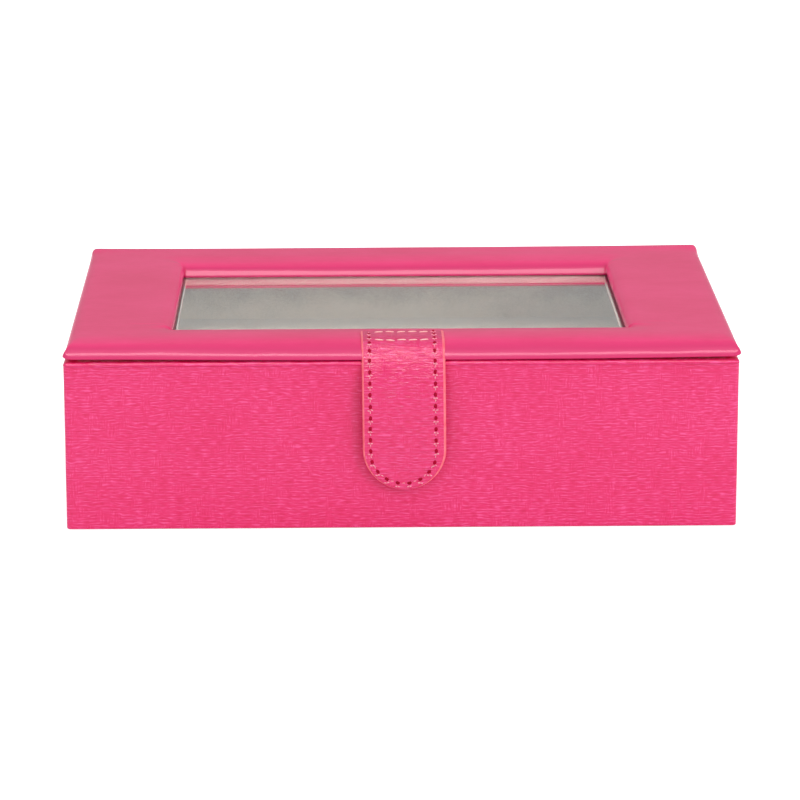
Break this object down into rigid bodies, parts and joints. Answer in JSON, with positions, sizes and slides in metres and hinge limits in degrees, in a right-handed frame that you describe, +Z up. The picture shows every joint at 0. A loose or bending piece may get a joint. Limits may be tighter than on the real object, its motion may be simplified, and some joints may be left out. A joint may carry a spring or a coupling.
{
  "type": "cufflink box with drawer",
  "caption": "Low oblong leather box with a glazed padded lid on two hinges, a magnetic leather strap in front, padded rolls inside and a flush drawer in its right side.",
  "frame": {"origin": "centre of the underside panel, on the surface the box stands on", "axes": "+X to the box's right as seen from the front (the drawer opens that way), +Y to the back (the hinges), +Z up; the strap hangs on the -Y side"},
  "size_m": [0.201, 0.1593, 0.0575],
  "materials": {
    "base_leather": "cross-grain, semi-gloss",
    "lid_leather": "smooth, satin",
    "strap_backing": "smooth, satin",
    "suede": "suede-like, matt",
    "bay_lining": "matt",
    "underside": "matt",
    "foam": "foam",
    "board": "fibreboard",
    "glass": "clear",
    "brass": "polished",
    "magnet": "nickel plated",
    "steel": "plain"
  },
  "bodies": {
    "base": {"back_board": "board", "base_leather": "base_leather", "bottom_board": "board", "catch_plate": "steel", "cufflink_roll_1": "suede", "cufflink_roll_2": "suede", "cufflink_roll_3": "suede", "cufflink_roll_4": "suede", "cufflink_roll_5": "suede", "cufflink_roll_6": "suede", "cufflink_roll_7": "suede", "drawer_bay_lining": "bay_lining", "front_board": "board", "hinge_base_leaf_left": "brass", "hinge_base_leaf_right": "brass", "hinge_base_screws": "brass", "hinge_pin_left": "brass", "hinge_pin_right": "brass", "left_board": "board", "right_board": "board", "tray_floor_board": "board", "tray_floor_lining": "suede", "tray_wall_lining": "suede", "underside_panel": "underside"},
    "lid": {"hinge_lid_leaf_left": "brass", "hinge_lid_leaf_right": "brass", "hinge_lid_screws": "brass", "lid_glass": "glass", "lid_inner_frame": "suede", "lid_inner_trim": "strap_backing", "lid_leather": "lid_leather", "lid_pad_back": "foam", "lid_pad_front": "foam", "lid_pad_left": "foam", "lid_pad_right": "foam", "lid_rail_back": "board", "lid_rail_front": "board", "lid_rail_left": "board", "lid_rail_right": "board", "strap_tab": "base_leather"},
    "strap": {"strap_backing": "strap_backing", "strap_leather": "base_leather", "strap_magnet": "magnet"},
    "drawer": {"drawer_divider_cross_1": "suede", "drawer_divider_cross_2": "suede", "drawer_divider_cross_3": "suede", "drawer_divider_long_1": "suede", "drawer_divider_long_2": "suede", "drawer_floor_board": "board", "drawer_front_board": "board", "drawer_front_leather": "base_leather", "drawer_lining": "suede", "drawer_wall_back": "board", "drawer_wall_end": "board", "drawer_wall_front": "board"}
  },
  "joints": [
    {"name": "lid_hinge", "type": "hinge", "parent": "base", "child": "lid", "pos_m": [0, 0.077, 0.05125], "axis": [-1, 0, 0], "range_deg": [0, 100]},
    {"name": "strap_bend", "type": "hinge", "parent": "lid", "child": "strap", "pos_m": [0.0006, -0.07785, 0.0546], "axis": [-1, 0, 0], "range_deg": [0, 110]},
    {"name": "drawer_slide", "type": "slide", "parent": "base", "child": "drawer", "axis": [1, 0, 0], "range_m": [0, 0.13]}
  ]
}
